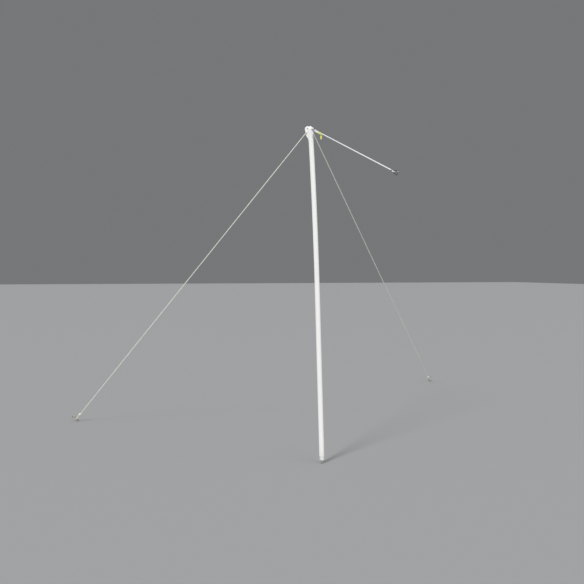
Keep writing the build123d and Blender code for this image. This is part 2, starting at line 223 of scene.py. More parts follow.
def makeRope(name, path, lean, rope):
    # braided rope: radius(i, j) = outer radius - depth * (1 - relief of the braid), rounded at its cut ends
    path = evenly(path, rope["ringStep"])
    along = arcLength(path)[:, None]
    turn = oneRound(rope["around"])
    relief = braidRelief(turn, along, rope["plaits"], rope["lay"])
    radius = (rope["diameter"] / 2 - rope["depth"] * (1 - relief)) * roundedEnds(along, rope["endRound"])
    return roundBar(name, path, steadyFrames(path, lean), 2 * math.pi * turn, radius)


# Shader helpers

# noises on Object coordinates: stretch, scale and detail, and the part of their range that shows; where no
# scale stands here, each finish has its own
noises = {
    "rainStreaks": {"stretch": (38, 38, 1.6), "scale": 1.0, "low": 0.5, "high": 0.78},
    "dustClouds": {"scale": 7.0, "low": 0.35, "high": 0.7},
    "earthSplashes": {"stretch": (1, 1, 0.6), "scale": 60.0, "detail": 6.0, "low": 0.42, "high": 0.62},
    "coatGloss": {"scale": 24.0, "low": 0.3, "high": 0.7},
    "orangePeel": {"scale": 620.0, "detail": 2.0},
    "wornPatches": {"detail": 5.0, "low": 0.52, "high": 0.66},
    "soilPatches": {"scale": 140.0, "detail": 6.0, "low": 0.36, "high": 0.56},
    "metalGloss": {"scale": 180.0, "low": 0.3, "high": 0.7},
    "metalGrain": {"scale": 700.0, "detail": 3.0},
    "rubbedSoil": {"stretch": (1, 1, 0.3), "scale": 90.0, "detail": 6.0, "low": 0.5, "high": 0.72},
    "mouldGrain": {"scale": 900.0, "detail": 2.0},
    "ropeGrime": {"detail": 6.0, "low": 0.5, "high": 0.75},
    "ropeEarth": {"scale": 45.0, "low": 0.4, "high": 0.65},
}


def newFinish(name):
    material = bpy.data.materials.new(name)
    material.use_nodes = True
    return material, material.node_tree, material.node_tree.nodes["Principled BSDF"]


def put(tree, kind, sockets=None, **settings):
    node = tree.nodes.new(kind)
    for key, value in settings.items():
        setattr(node, key, value)
    for key, value in (sockets or {}).items():
        node.inputs[key].default_value = value
    return node


def join(tree, source, target):
    tree.links.new(source, target)


def ramp(tree, source, low, high, start=0.0, end=1.0):
    # a value spread from one range to another
    node = put(tree, "ShaderNodeMapRange", {
        "From Min": low, "From Max": high, "To Min": start, "To Max": end})
    join(tree, source, node.inputs["Value"])
    return node.outputs["Result"]


def combine(tree, first, second, how="MULTIPLY"):
    node = put(tree, "ShaderNodeMath", operation=how, use_clamp=True)
    join(tree, first, node.inputs[0])
    if isinstance(second, (int, float)):
        node.inputs[1].default_value = second
    else:
        join(tree, second, node.inputs[1])
    return node.outputs[0]


def blendColours(tree, share, first, second):
    # inputs 6 and 7 of a Mix node are its two colours, and output 2 is their blend
    node = put(tree, "ShaderNodeMix", data_type="RGBA")
    for socket, value in ((node.inputs[6], first), (node.inputs[7], second)):
        if isinstance(value, tuple):
            socket.default_value = (*value, 1)
        else:
            join(tree, value, socket)
    join(tree, share, node.inputs[0])
    return node.outputs[2]


def stretchedNoise(tree, source, stretch, sockets):
    mapping = put(tree, "ShaderNodeMapping", {"Scale": stretch})
    noise = put(tree, "ShaderNodeTexNoise", sockets)
    join(tree, source, mapping.inputs["Vector"])
    join(tree, mapping.outputs["Vector"], noise.inputs["Vector"])
    return noise.outputs["Fac"]


def objectNoise(tree, name, scale=None, rough=0.55):
    noise = noises[name]
    place = put(tree, "ShaderNodeTexCoord")
    return stretchedNoise(tree, place.outputs["Object"], noise.get("stretch", (1, 1, 1)), {
        "Scale": scale or noise["scale"], "Detail": noise.get("detail", 4.0), "Roughness": rough})


def mapNoise(tree, stretch, detail, distortion=0.0, rough=0.6):
    # noise on the piece's own map, which runs round it and along it
    layer = put(tree, "ShaderNodeUVMap", uv_map="along")
    return stretchedNoise(tree, layer.outputs["UV"], (*stretch, 1), {
        "Scale": 1.0, "Detail": detail, "Roughness": rough, "Distortion": distortion})


def patches(tree, name, start=0.0, end=1.0, scale=None):
    # the part of a noise's range that shows, spread from start to end
    return ramp(tree, objectNoise(tree, name, scale), noises[name]["low"], noises[name]["high"], start, end)


def heightAbove(tree, low, high):
    # 1 at the low height and 0 at the high one
    place = put(tree, "ShaderNodeTexCoord")
    split = put(tree, "ShaderNodeSeparateXYZ")
    join(tree, place.outputs["Object"], split.inputs[0])
    return ramp(tree, split.outputs["Z"], low, high, 1.0, 0.0)


def roughen(tree, shader, height, strength, distance):
    bump = put(tree, "ShaderNodeBump", {"Strength": strength, "Distance": distance})
    join(tree, height, bump.inputs["Height"])
    join(tree, bump.outputs["Normal"], shader.inputs["Normal"])


# Finishes

def paintedSteel(name, look):
    # satin white coat: fine orange peel, faint rain streaks and a little mossy earth near the ground
    material, tree, shader = newFinish(name)
    dust = combine(tree, combine(tree, patches(tree, "rainStreaks"), patches(tree, "dustClouds")),
                   look["dustShare"])
    colour = blendColours(tree, dust, look["colour"], look["dust"])
    splash = combine(tree, heightAbove(tree, *look["splash"]), patches(tree, "earthSplashes"))
    colour = blendColours(tree, combine(tree, splash, look["earthShare"]), colour, look["earth"])
    join(tree, colour, shader.inputs["Base Color"])
    join(tree, patches(tree, "coatGloss", *look["rough"]), shader.inputs["Roughness"])
    roughen(tree, shader, objectNoise(tree, "orangePeel"), *look["bump"])
    return material


def grainedSteel(name, look):
    # zinc, and bright steel whose colour is painted dark for the dark surroundings it would mirror (painted
    # reflection): a grain of flat cells, worn patches, and soil low down that dulls it
    material, tree, shader = newFinish(name)
    place = put(tree, "ShaderNodeTexCoord")
    spangle = put(tree, "ShaderNodeTexVoronoi", {"Scale": look["spangle"], "Randomness": 1.0})
    join(tree, place.outputs["Object"], spangle.inputs["Vector"])
    grain = put(tree, "ShaderNodeSeparateColor")
    join(tree, spangle.outputs["Color"], grain.inputs[0])
    colour = blendColours(tree, grain.outputs[0], look["dark"], look["light"])
    wear = combine(tree, patches(tree, "wornPatches", scale=look["wearScale"]), look["wearShare"])
    colour = blendColours(tree, wear, colour, look["worn"])
    soil = combine(tree, heightAbove(tree, 0.0, look["soilHeight"]), patches(tree, "soilPatches"))
    colour = blendColours(tree, soil, colour, look["soil"])
    join(tree, colour, shader.inputs["Base Color"])
    join(tree, ramp(tree, soil, 0.0, 1.0, look["metal"], 0.0), shader.inputs["Metallic"])
    dulled = combine(tree, soil, look["soilRough"])
    join(tree, combine(tree, patches(tree, "metalGloss", *look["rough"]), dulled, "ADD"),
         shader.inputs["Roughness"])
    roughen(tree, shader, objectNoise(tree, "metalGrain"), *look["bump"])
    return material


def mouldedPlastic(name, look):
    # light plastic with a fine moulded grain and rubbed-in soil
    material, tree, shader = newFinish(name)
    rub = patches(tree, "rubbedSoil")
    colour = blendColours(tree, combine(tree, rub, look["soilShare"]), look["colour"], look["soil"])
    join(tree, colour, shader.inputs["Base Color"])
    join(tree, ramp(tree, rub, 0.0, 1.0, *look["rough"]), shader.inputs["Roughness"])
    roughen(tree, shader, objectNoise(tree, "mouldGrain"), *look["bump"])
    return material


fibre = {
    # the range of the filament noise over which the painted groove shade fades into the lit colour
    "paintedGrooveShadeRange": (0.3, 0.7),    # of the noise
    "detail": 3.0,
    "earthTop": 0.16,            # height that earth splashes up to
    "earthShare": 0.55,
    "sheen": 0.35,
    "sheenRough": 0.4,
    "bump": (0.5, 0.0004),
}


def braidedFibre(name, look):
    # rope: fine filaments that run with the strands, read off the piece's own map, painted darker in the
    # grooves between them where the bump dips (painted shade), with grime and low earth
    material, tree, shader = newFinish(name)
    filaments = mapNoise(tree, (look["threads"], look["pull"]), fibre["detail"])
    paintedGrooveShade = blendColours(tree, ramp(tree, filaments, *fibre["paintedGrooveShadeRange"]), look["paintedGrooveShade"], look["colour"])
    grime = combine(tree, patches(tree, "ropeGrime", scale=look["grimeScale"]), look["grimeShare"])
    colour = blendColours(tree, grime, paintedGrooveShade, look["grime"])
    earth = combine(tree, heightAbove(tree, 0.0, fibre["earthTop"]), patches(tree, "ropeEarth"))
    colour = blendColours(tree, combine(tree, earth, fibre["earthShare"]), colour, look["earth"])
    join(tree, colour, shader.inputs["Base Color"])
    shader.inputs["Roughness"].default_value = look["rough"]
    shader.inputs["Sheen Weight"].default_value = fibre["sheen"]
    shader.inputs["Sheen Roughness"].default_value = fibre["sheenRough"]
    roughen(tree, shader, filaments, *fibre["bump"])
    return material


def wrinkledTape(name, look):
    # thin satin film with fine creases, on the piece's own map; its colour is painted darker in the creases'
    # hollows, where the bump dips (painted shade)
    material, tree, shader = newFinish(name)
    crease = mapNoise(tree, look["stretch"], look["detail"], look["distortion"])
    colour = blendColours(tree, ramp(tree, crease, *look["paintedCreaseShadeRange"]), look["paintedCreaseShade"], look["colour"])
    join(tree, colour, shader.inputs["Base Color"])
    join(tree, ramp(tree, crease, *look["glossRange"], *look["rough"]), shader.inputs["Roughness"])
    roughen(tree, shader, crease, *look["bump"])
    return material


# rough is the least and the most roughness, bump its strength and depth, and splash the heights between which
# earth fades
finishes = {
    "white_paint": paintedSteel("whitePowderCoat", {
        "colour": (0.86, 0.86, 0.845), "dust": (0.66, 0.66, 0.61), "dustShare": 0.35,
        "earth": (0.30, 0.27, 0.15), "earthShare": 0.22, "splash": (0.04, 0.18),
        "rough": (0.31, 0.45), "bump": (0.12, 0.0004)}),
    "grey_plastic": mouldedPlastic("greyFootPlastic", {
        "colour": (0.74, 0.75, 0.73), "soil": (0.25, 0.22, 0.13), "soilShare": 0.35,
        "rough": (0.45, 0.65), "bump": (0.12, 0.0003)}),
    "pin_steel": grainedSteel("dullZinc", {
        "dark": (0.50, 0.51, 0.51), "light": (0.60, 0.61, 0.60), "spangle": 240.0,
        "worn": (0.36, 0.30, 0.24), "wearScale": 70.0, "wearShare": 0.5,
        "soil": (0.16, 0.12, 0.07), "soilHeight": 0.022, "soilRough": 0.5,
        "metal": 0.9, "rough": (0.38, 0.56), "bump": (0.2, 0.0003)}),
    "link_steel": grainedSteel("brightZinc", {
        "dark": (0.56, 0.57, 0.58), "light": (0.66, 0.67, 0.67), "spangle": 600.0,
        "worn": (0.44, 0.43, 0.41), "wearScale": 220.0, "wearShare": 0.15,
        "soil": (0.16, 0.12, 0.07), "soilHeight": 0.001, "soilRough": 0.5,
        "metal": 1.0, "rough": (0.24, 0.42), "bump": (0.08, 0.0003)}),
    # the hook's dark and light colours are painted reflection: bright steel painted dark, as if it mirrored
    # dark surroundings
    "hook_steel": grainedSteel("steelPaintedDarkReflection", {
        "dark": (0.22, 0.22, 0.23), "light": (0.30, 0.30, 0.31), "spangle": 600.0,
        "worn": (0.58, 0.58, 0.57), "wearScale": 260.0, "wearShare": 0.24,
        "soil": (0.16, 0.12, 0.07), "soilHeight": 0.001, "soilRough": 0.5,
        "metal": 1.0, "rough": (0.19, 0.37), "bump": (0.08, 0.0003)}),
    "peg_steel": grainedSteel("scuffedZinc", {
        "dark": (0.40, 0.41, 0.41), "light": (0.52, 0.53, 0.52), "spangle": 260.0,
        "worn": (0.30, 0.21, 0.13), "wearScale": 60.0, "wearShare": 0.7,
        "soil": (0.15, 0.11, 0.06), "soilHeight": 0.05, "soilRough": 0.5,
        "metal": 0.9, "rough": (0.36, 0.54), "bump": (0.25, 0.0003)}),
    # in the ropes below, shade is painted shade: the darker colour of the grooves between filaments, where
    # the bump dips
    "sail_rope": braidedFibre("coolWhiteBraid", {
        "colour": (0.88, 0.90, 0.90), "paintedGrooveShade": (0.74, 0.76, 0.77), "threads": 60, "pull": 420,
        "grime": (0.55, 0.55, 0.50), "grimeScale": 26.0, "grimeShare": 0.35,
        "earth": (0.25, 0.21, 0.12), "rough": 0.7}),
    "guy_rope": braidedFibre("offWhiteBraid", {
        "colour": (0.87, 0.88, 0.78), "paintedGrooveShade": (0.78, 0.79, 0.69), "threads": 60, "pull": 420,
        "grime": (0.48, 0.46, 0.34), "grimeScale": 18.0, "grimeShare": 0.25,
        "earth": (0.22, 0.19, 0.10), "rough": 0.75}),
    "dark_twine": braidedFibre("darkWaxedTwine", {
        "colour": (0.13, 0.13, 0.13), "paintedGrooveShade": (0.05, 0.05, 0.05), "threads": 14, "pull": 900,
        "grime": (0.20, 0.19, 0.16), "grimeScale": 60.0, "grimeShare": 0.4,
        "earth": (0.25, 0.21, 0.12), "rough": 0.5}),
    # deep is painted shade: the darker yellow of the creases' hollows, where the bump dips
    "yellow_tape": wrinkledTape("yellowFilm", {
        "colour": (0.88, 0.89, 0.17), "paintedCreaseShade": (0.70, 0.71, 0.09), "paintedCreaseShadeRange": (0.35, 0.7),
        "stretch": (9, 120), "detail": 5.0, "distortion": 0.6, "glossRange": (0.3, 0.7),
        "rough": (0.26, 0.46), "bump": (0.6, 0.0008)}),
}
slotOf = {part["node"]: part["material_slot"] for part in frame["record"]["subparts"]}
for nodeName, node in nodes.items():
    node.data.materials.clear()
    node.data.materials.append(finishes[slotOf[nodeName]])
print("finishes made:", len(finishes))


def dress(piece, slot, *replaced):
    piece.data.materials.append(finishes[slot])
    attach(piece, "root")
    if replaced:
        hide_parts(*replaced)


# Ropes

# depth is the relief of the braid, and lay the length over which a strand goes once round
guyRope = {
    "diameter": 0.008,
    "depth": 0.00085,
    "plaits": 4,
    "lay": 0.031,
    "endRound": 0.0022,
    "around": 24,
    "ringStep": 0.00122,
}
sailRope = {
    "diameter": 0.008,
    "depth": 0.0006,
    "plaits": 6,
    "lay": 0.034,
    "endRound": 0.002,
    "around": 36,
    "ringStep": 0.00095,
}
ropeRadius = guyRope["diameter"] / 2
ropeGap = 0.0002                 # between a rope and what it bears on
pairOffset = ropeRadius + ropeGap / 2

guys = {
    "left": {"normal": leftNormal, "knotSide": 1, "peg": np.array([-2.152, -1.857, 0.0])},
    "right": {"normal": rightNormal, "knotSide": -1, "peg": np.array([-2.617, 2.992, 0.0])},
}
guyEnds = {
    "holeBend": 0.006,
    "bendShare": 0.95,           # of the hole's bend, that the rope's curve takes up
    "stopperLength": 0.018,
    "stopperRound": 0.0075,      # from the knot's middle to the rope's, in a turn
    "stopperTurns": 2.6,
    "stopperTuck": 0.45,         # tucks: the part of a turn that is drawn in at each end
    "stopperTail": 0.005,
    "pegKnotLength": 0.030,
    "pegKnotTurns": 4.3,
    "pegKnotTuck": 0.4,
    "pegKnotRun": 0.012,         # how far the guy runs on into the knot
    "pegKnotTail": 0.014,
    "tailBend": 4,               # power of the share by which the cut end leaves the line
    "tailDrop": 0.002,
    "straightPoints": 30,
    "loopHeight": 0.020,
    "loopLength": 0.064,
    "loopLeg": 0.006,
    "loopTuck": 0.008,           # how far the loop runs on into the knot
    "pegRadius": 0.006,
}


def guyLine(guy):
    # the same construction as the solids: the anchor on the peg, the bend behind the lug and the pull between
    hole = lugPoint(guy["normal"], guyLug["lowerOut"], guyLug["lowerDown"])
    face = guy["normal"] * guy["knotSide"]
    flat = guy["peg"] - hole
    across = unit(np.cross(upwards, unit(flat * [1, 1, 0])))
    pegAxis = np.cross(across, unit(flat))
    pegAxis = unit(pegAxis * np.sign(pegAxis[2]))
    anchor = guy["peg"] + pegAxis * guyEnds["loopHeight"] / pegAxis[2]
    corner = hole - face * (fittings["lugThickness"] / 2 + guyEnds["holeBend"])
    pull = unit(anchor - corner)
    loopStart = anchor - pull * guyEnds["loopLength"]
    return {"hole": hole, "face": face, "across": across, "anchor": anchor, "corner": corner, "pull": pull,
            "loopStart": loopStart, "knotStart": loopStart - pull * guyEnds["pegKnotLength"]}


def bendAt(before, corner, after, reach, count=40):
    # quadratic curve round a corner, from the reach before it to the reach after it
    start = corner + unit(before - corner) * reach
    end = corner + unit(after - corner) * reach
    return bezier(np.linspace(0, 1, count)[:, None], [start, corner, end])


def eyePath(barRadius, spread, longLeg, shortLeg, count=60):
    # an eye in its own plane: legs at y = ±pairOffset, opened by a smooth step to the ring's radius, and half
    # a turn round the bar at the origin; x runs away from the bar along the legs
    ring = barRadius + ropeGap + ropeRadius
    share = np.linspace(0, 1, count)
    opening = pairOffset + (ring - pairOffset) * ease(1 - share)
    turn = np.linspace(math.pi / 2, 3 * math.pi / 2, count)[1:-1]
    upper = np.stack([spread * share[::-1], opening[::-1]], axis=1)
    bend = np.stack([ring * np.cos(turn), ring * np.sin(turn)], axis=1)
    lower = np.stack([spread * share, -opening], axis=1)
    return np.concatenate([[[longLeg, pairOffset]], upper, bend, lower, [[shortLeg, -pairOffset]]])


def intoPlace(flat, origin, *directions):
    # place(i) = origin + the sum of column k of row i times direction k
    return origin + flat @ np.array(directions)


def stadiumPoint(turn, halfGap, radius):
    # a point on the outline of two circles of that radius at y = ±halfGap, run through by its length, and the
    # outward direction there; turn counts whole rounds
    perimeter = 4 * halfGap + 2 * math.pi * radius
    at = (turn % 1) * perimeter
    side, end = 2 * halfGap, math.pi * radius
    parts = [at < side, at < side + end, at < 2 * side + end]
    angle = np.select(parts, [0.0, (at - side) / radius, math.pi], (at - 2 * side - end) / radius + math.pi)
    middle = np.select(parts, [at - halfGap, halfGap, halfGap - (at - side - end)], -halfGap)
    return radius * np.cos(angle), middle + radius * np.sin(angle), np.cos(angle), np.sin(angle)


def wrapPath(turns, halfGap, radius, rise, tuck, tuckDepth=0.62, count=90):
    # a helix on that outline: round it by its turns and along by the rise, drawn in by a share of its radius
    # over the first and the last tuck of a turn; x and y are across the ropes and z along them
    turn = np.linspace(0, turns, int(turns * count))
    x, y, outX, outY = stadiumPoint(turn, halfGap, radius)
    drawn = radius * tuckDepth * (1 - ease(turn / tuck) * ease((turns - turn) / tuck))
    return np.stack([x - outX * drawn, y - outY * drawn, rise * turn / turns], axis=1)


def makeGuy(side, guy):
    # the guy, its stopper behind the lug, its knot and its loop: ropes on the helix, eye and bend formulas
    line = guyLine(guy)
    face, pull, across = line["face"], line["pull"], line["across"]
    share = np.linspace(0, 1, guyEnds["straightPoints"])[:, None]

    def rope(part, path, lean, *replaced):
        dress(makeRope(side + part, path, lean, guyRope), "guy_rope", *replaced)

    plate = line["hole"] + face * fittings["lugThickness"] / 2
    inStopper = plate + face * guyEnds["stopperLength"] / 2
    inPegKnot = line["knotStart"] + pull * guyEnds["pegKnotRun"]
    bend = bendAt(inStopper, line["corner"], line["knotStart"], guyEnds["holeBend"] * guyEnds["bendShare"])
    rope("GuyBraid", np.concatenate([[inStopper], bend, [inPegKnot]]), across, side + "_guy_rope")

    # stopper: turns round the rope's own core, and its cut end standing straight out of them
    sideways = unit(np.cross(face, pull))
    wrap = wrapPath(guyEnds["stopperTurns"], 0.0, guyEnds["stopperRound"],
                    guyEnds["stopperLength"] - 2 * ropeRadius, guyEnds["stopperTuck"])
    rope("StopperTurns", intoPlace(wrap, plate + face * ropeRadius, sideways, np.cross(sideways, face), face),
         face, side + "_guy_stopper_knot")
    reach = guyEnds["stopperLength"] + guyEnds["stopperTail"] - ropeRadius
    rope("StopperTail", plate + face * (ropeRadius + share * reach), sideways)

    # peg knot: turns round the standing part and the leg of the loop, and the cut end beside the line
    ahead = unit(np.cross(pull, across))
    wrap = wrapPath(guyEnds["pegKnotTurns"], pairOffset, 2 * ropeRadius,
                    guyEnds["pegKnotLength"] - 2 * ropeRadius, guyEnds["pegKnotTuck"])
    rope("PegKnotTurns", intoPlace(wrap, line["knotStart"] + pull * ropeRadius, ahead, across, pull), pull,
         side + "_guy_peg_knot")
    bent = share ** guyEnds["tailBend"]
    tail = line["loopStart"] + pull * ropeRadius \
        - pull * share * (guyEnds["pegKnotLength"] + guyEnds["pegKnotTail"] + ropeRadius) \
        - across * (pairOffset + (ropeRadius + ropeGap) * bent) - upwards * guyEnds["tailDrop"] * bent
    rope("PegKnotTail", tail, across)

    reach = guyEnds["loopLength"] + guyEnds["loopTuck"]
    loop = eyePath(guyEnds["pegRadius"], guyEnds["loopLength"] - guyEnds["loopLeg"], reach, reach)
    rope("PegLoop", intoPlace(loop, line["anchor"], -pull, across), ahead, side + "_guy_peg_loop")


for side, guy in guys.items():
    makeGuy(side, guy)
print("guys made")


# Sail line

sailLine = {
    "reach": 1.349,              # out and down, from the lug's upper hole to the hook's far end
    "drop": 0.591,
    "linkWire": 0.006,
    "linkLength": 0.052,
    "holeDiameter": 0.012,
    "linkSlack": 0.0008,
    "headEye": 0.163,            # eyes: from the bar's middle to where the legs end
    "headSpread": 0.034,         # spreads: the part of an eye whose legs stand open
    "eyeEnd": 0.005,             # the short leg ends this much before the long one
    "hookEye": 0.033,
    "hookSpread": 0.009,
    "hookLength": 0.060,
    "hookWire": 0.006,
    "lean": (0.1, 1, 0.05),      # a direction that the rope never runs in
}
sailHole = lugPoint(sailNormal, sailLug["upperOut"], sailLug["upperDown"])
sailEnd = sailHole + np.array([sailLine["reach"], 0, -sailLine["drop"]])
sailLength = np.linalg.norm(sailEnd - sailHole)
sailDir = (sailEnd - sailHole) / sailLength
sailUp = np.cross(sailDir, [0, 1, 0])
sailAcross = np.cross(sailUp, sailDir)
linkStart = (sailLine["holeDiameter"] - sailLine["linkWire"]) / 2 - sailLine["linkSlack"]
linkEnd = linkStart + sailLine["linkLength"] + sailLine["linkWire"]
hookBar = sailLength - sailLine["hookLength"] + sailLine["hookWire"] / 2


def sailPoint(along, across=0.0, up=0.0):
    return sailHole + sailDir * along + sailAcross * across + sailUp * up


def makeSailRope():
    # one rope from end to end: the head eye round the link, in the vertical plane, the long run, and the eye
    # round the hook, in the plane square to it
    headEye = eyePath(sailLine["linkWire"] / 2, sailLine["headSpread"], sailLine["headEye"],
                      sailLine["headEye"] - sailLine["eyeEnd"])[::-1]
    headEye = intoPlace(headEye, sailPoint(linkEnd), sailDir, sailUp)
    hookEye = eyePath(sailLine["hookWire"] / 2, sailLine["hookSpread"], sailLine["hookEye"],
                      sailLine["hookEye"] - sailLine["eyeEnd"])
    hookEye = intoPlace(hookEye, sailPoint(hookBar, -pairOffset, pairOffset), -sailDir, sailAcross)
    path = np.concatenate([headEye, hookEye])
    dress(makeRope("sailLineBraid", path, sailLine["lean"], sailRope), "sail_rope",
          "sail_line_head_eye", "sail_line", "sail_line_hook_eye")


makeSailRope()
print("sail line made")


# Yellow tape: a film wound over the two legs of the head eye and part of the way back, with its end hanging

tape = {
    "start": 0.089,              # from the link's far end
    "length": 0.063,
    "width": 0.016,
    "thickness": 0.0004,
    "core": 0.0043,              # from a rope's middle to the film
    "turnsOut": 5,
    "turnsBack": 2,
    "lap": 0.0005,               # lift of a turn over the one before
    "lapEdge": 0.0016,           # width of the step where it lifts
    "backLift": 1.6,             # laps that the turns on the way back lie higher
    "backSpan": (0.0, 1 / 6),    # spans: where a change starts and how long it takes
    "windingPoints": 900,
    "around": 26,
    "ringStep": 0.0008,
}
# the hanging end; its spans count from 0 where it leaves the band to 1 at its tip
tapeEnd = {
    "leave": 0.69,               # share of the band's length where it leaves
    "first": 0.012,              # how firmly it starts out square to the ropes
    "sway": (0.003, -0.002, -0.028),     # the curve's third corner, from its start
    "tip": (0.0045, -0.0042, -0.043),    # its end
    "points": 90,
    "turn": 67.5,                # degrees that the film swings round
    "turnSpan": (0.04, 0.26),
    "turnBack": 0.35,            # radians that its tip curls back
    "turnBackSpan": (0.6, 0.4),
    "tilt": 0.12,                # how far the tip faces up
    "gather": 0.66,              # share of the width that is gathered in
    "gatherSpan": (0.0, 0.08),
    "openSpan": (0.1, 0.18),
    "narrowFrom": 0.36,
    "tipWidth": 0.0045,
    "unlapSpan": (0.0, 0.12),
    "curl": 0.0016,              # lift of the tip's edges
    "flutter": (0.0011, 0.0048),     # waves at the tip: their height, and the length that one radian takes
}
# waves over the film: their height, and how far along and across it one radian takes
creases = (
    {"height": 0.00016, "along": 0.0061, "across": 0.0016, "wander": 0.0},
    {"height": 0.00013, "along": 0.0023, "across": -0.0031, "wander": 2.0},
)
creaseWander = 0.017             # the length that one radian of their wandering takes


def tapeWinding():
    # the stadium outline run through by turns, out along the ropes and part of the way back: its places, its
    # outward directions, and how far each place is on to the second layer
    perimeter = 4 * pairOffset + 2 * math.pi * tape["core"]
    lastTurn = (4 * pairOffset + math.pi * tape["core"]) / perimeter
    turns = tape["turnsOut"] + tape["turnsBack"] - 1 + lastTurn
    turn = np.linspace(0, turns, tape["windingPoints"])
    back = (turn - tape["turnsOut"]) / (turns - tape["turnsOut"])
    along = np.where(back < 0, turn / tape["turnsOut"], 1 - (1 - tapeEnd["leave"]) * np.clip(back, 0, 1))
    second = ease(back, *tape["backSpan"])
    radius = tape["core"] + tape["thickness"] / 2 + second * tape["lap"] * tape["backLift"]
    x, y, outX, outY = stadiumPoint(turn, pairOffset, radius)
    flat = np.stack([along * (tape["length"] - tape["width"]), -x, y], axis=1)
    origin = sailPoint(linkEnd + tape["start"] + tape["width"] / 2)
    return (intoPlace(flat, origin, sailDir, sailAcross, sailUp),
            sailUp * outY[:, None] - sailAcross * outX[:, None], second)


def tapeHanging(start):
    # a cubic curve that falls from the band, and the way that the film faces as it swings round and curls
    share = np.linspace(0, 1, tapeEnd["points"])[1:, None]
    path = bezier(share, [start, start - sailUp * tapeEnd["first"], start + np.array(tapeEnd["sway"]),
                          start + np.array(tapeEnd["tip"])])
    swing = math.radians(tapeEnd["turn"]) * ease(share, *tapeEnd["turnSpan"]) \
        - tapeEnd["turnBack"] * ease(share, *tapeEnd["turnBackSpan"])
    return path, np.concatenate([-np.sin(swing), np.cos(swing), tapeEnd["tilt"] * share], axis=1)


def makeTape():
    # film along the winding and its hanging end: a thin lens in section, lifted where it laps the turn before
    # it, gathered where it leaves the band and narrowed to its tip
    wound, outwards, second = tapeWinding()
    hanging, facing = tapeHanging(wound[-1])
    line = np.concatenate([wound, hanging])
    length = arcLength(line)
    at = np.linspace(0, length[-1], int(length[-1] / tape["ringStep"]))
    path = readOff(at, length, line)
    lean = unit(readOff(at, length, np.concatenate([outwards, facing])))
    isBack = readOff(at, length, np.concatenate([second, np.ones(len(hanging))])[:, None])
    at = at[:, None]
    hangStart = length[len(wound) - 1]
    hang = np.clip((at - hangStart) / (length[-1] - hangStart), 0, 1)

    angle = 2 * math.pi * oneRound(tape["around"])
    narrowed = np.clip((hang - tapeEnd["narrowFrom"]) / (1 - tapeEnd["narrowFrom"]), 0, 1)
    width = tape["width"] * (1 - tapeEnd["gather"] * ease(hang, *tapeEnd["gatherSpan"])
                             + tapeEnd["gather"] * ease(hang, *tapeEnd["openSpan"]))
    width = width - (tape["width"] - tapeEnd["tipWidth"]) * narrowed
    across = width / 2 * np.cos(angle)
    pitch = (tape["length"] - tape["width"]) / tape["turnsOut"]
    lapped = ease((tape["width"] / 2 - pitch + across * (2 * isBack - 1)) / tape["lapEdge"] + 0.5)
    lapped = lapped * (1 - ease(hang, *tapeEnd["unlapSpan"]))
    relief = sum(crease["height"] * np.sin(at / crease["along"] + across / crease["across"]
                                           + crease["wander"] * np.sin(at / creaseWander))
                 for crease in creases)
    flutter, flutterLength = tapeEnd["flutter"]
    curl = tapeEnd["curl"] * (2 * across / tape["width"]) ** 2 + flutter * np.sin(at / flutterLength)
    height = tape["lap"] * lapped + relief + hang * curl - tape["thickness"] / 2 * np.sin(angle)
    piece = carriedProfile("yellowTapeBand", path, leaningFrames(path, lean), height, across)
    dress(piece, "yellow_tape", "sail_line_tape")


makeTape()


# Twine round the legs of the hook's eye

whipping = {
    "gap": 0.0095,               # from the hook's bar
    "length": 0.016,
    "twineDiameter": 0.001,
    "tuck": 0.5,
    "plyDepth": 0.12,            # of the twine's radius
    "plyLay": 0.005,             # length over which a ply goes once round
    "around": 10,
}


def makeWhipping():
    # twine wound tightly round the two legs of the hook's eye: a helix on their outline; its own radius rises
    # and falls twice round it, for two twisted plies
    twine = whipping["twineDiameter"] / 2
    wrap = wrapPath(whipping["length"] / whipping["twineDiameter"], pairOffset, ropeRadius + ropeGap + twine,
                    whipping["length"] - 2 * twine, whipping["tuck"])
    origin = sailPoint(hookBar - whipping["gap"] - whipping["length"] + twine, -pairOffset, pairOffset)
    path = evenly(intoPlace(wrap, origin, sailUp, sailAcross, sailDir), twine)
    along = arcLength(path)[:, None]
    angle = 2 * math.pi * oneRound(whipping["around"])
    plies = np.cos(2 * (angle - 2 * math.pi * along / whipping["plyLay"]))
    radius = twine * (1 - whipping["plyDepth"] * (1 - plies)) * roundedEnds(along, twine)
    dress(roundBar("hookEyeTwine", path, steadyFrames(path, sailDir), angle, radius), "dark_twine",
          "sail_line_whipping")


makeWhipping()
print("tape and twine made")


# Welds along the lugs, one bead down each face and round the toe

weld = {
    "beadRadius": 0.0019,
    "aside": 0.0003,             # from the plate's face to the bead's middle
    "toeReach": 0.0009,
    "topGap": 0.003,
    "endRound": 0.0015,
    "ripple": 0.0017,            # length of one
    "rippleDepth": 0.05,         # of the bead's radius
    "rippleBow": 0.0008,         # how far each bows along the bead
    "drift": (0.0005, 0.0093),   # uneven ripples: how far they move, and the length that one radian takes
    "swells": ((0.06, 0.0077), (0.04, 0.0031)),    # of the radius: their share, and the same length
    "sidePoints": 60,
    "toePoints": 40,
    "around": 16,
    "ringStep": 0.0004,
}


